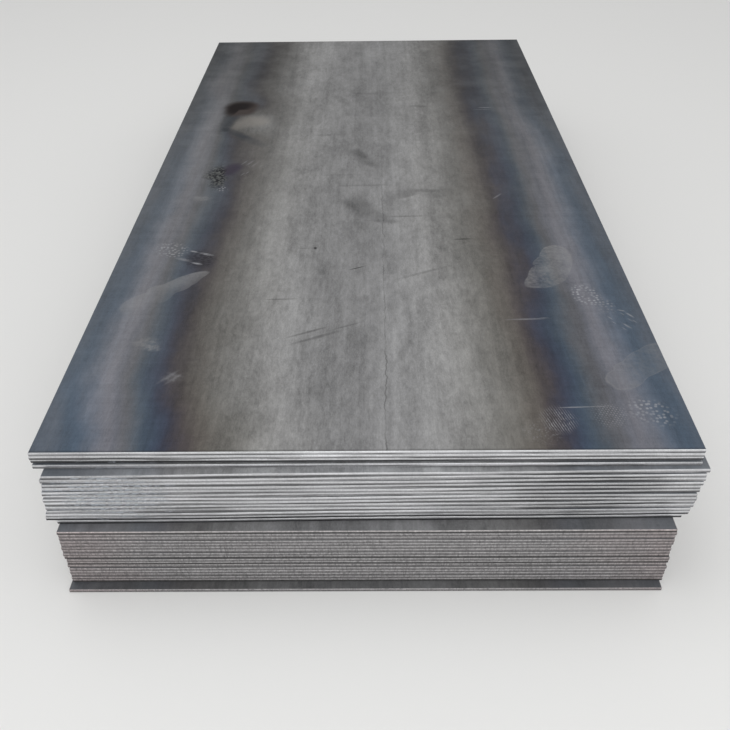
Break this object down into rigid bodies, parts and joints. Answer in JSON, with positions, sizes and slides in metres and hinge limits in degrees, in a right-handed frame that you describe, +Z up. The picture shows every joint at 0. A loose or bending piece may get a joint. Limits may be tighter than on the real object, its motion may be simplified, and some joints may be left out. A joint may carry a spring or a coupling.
{
  "type": "steel plate stack",
  "caption": "Stack of flat rectangular hot-rolled steel plates in stepped lifts, with blue-grey mill scale on top and bare cut edges.",
  "frame": {"origin": "middle of the base plate's underside", "axes": "+Y along the plates, away from the stepped end; +X to the right across them; +Z up"},
  "size_m": [1.5185, 3.0718, 0.3977],
  "materials": {
    "sheared_plate_steel": "hot-rolled steel with dark blue-grey mill scale, temper colours towards its long sides and bright sheared edges",
    "flame_cut_plate_steel": "hot-rolled steel with dark grey mill scale and dull brown-grey flame-cut edges"
  },
  "bodies": {
    "root": {"base_plate": "flame_cut_plate_steel", "bowed_plate": "sheared_plate_steel", "flame_cut_plate_01": "flame_cut_plate_steel", "flame_cut_plate_02": "flame_cut_plate_steel", "flame_cut_plate_03": "flame_cut_plate_steel", "flame_cut_plate_04": "flame_cut_plate_steel", "flame_cut_plate_05": "flame_cut_plate_steel", "flame_cut_plate_06": "flame_cut_plate_steel", "flame_cut_plate_07": "flame_cut_plate_steel", "flame_cut_plate_08": "flame_cut_plate_steel", "flame_cut_plate_09": "flame_cut_plate_steel", "flame_cut_plate_10": "flame_cut_plate_steel", "flame_cut_plate_11": "flame_cut_plate_steel", "flame_cut_plate_12": "flame_cut_plate_steel", "flame_cut_plate_13": "flame_cut_plate_steel", "flame_cut_plate_14": "flame_cut_plate_steel", "flame_cut_plate_15": "flame_cut_plate_steel", "flame_cut_plate_16": "flame_cut_plate_steel", "flame_cut_plate_17": "flame_cut_plate_steel", "narrow_plate": "sheared_plate_steel", "sheared_plate_01": "sheared_plate_steel", "sheared_plate_02": "sheared_plate_steel", "sheared_plate_03": "sheared_plate_steel", "sheared_plate_04": "sheared_plate_steel", "sheared_plate_05": "sheared_plate_steel", "sheared_plate_06": "sheared_plate_steel", "sheared_plate_07": "sheared_plate_steel", "sheared_plate_08": "sheared_plate_steel", "sheared_plate_09": "sheared_plate_steel", "sheared_plate_10": "sheared_plate_steel", "sheared_plate_11": "sheared_plate_steel", "sheared_plate_12": "sheared_plate_steel", "top_plate": "sheared_plate_steel", "upper_plate_01": "sheared_plate_steel", "upper_plate_02": "sheared_plate_steel"}
  },
  "joints": []
}
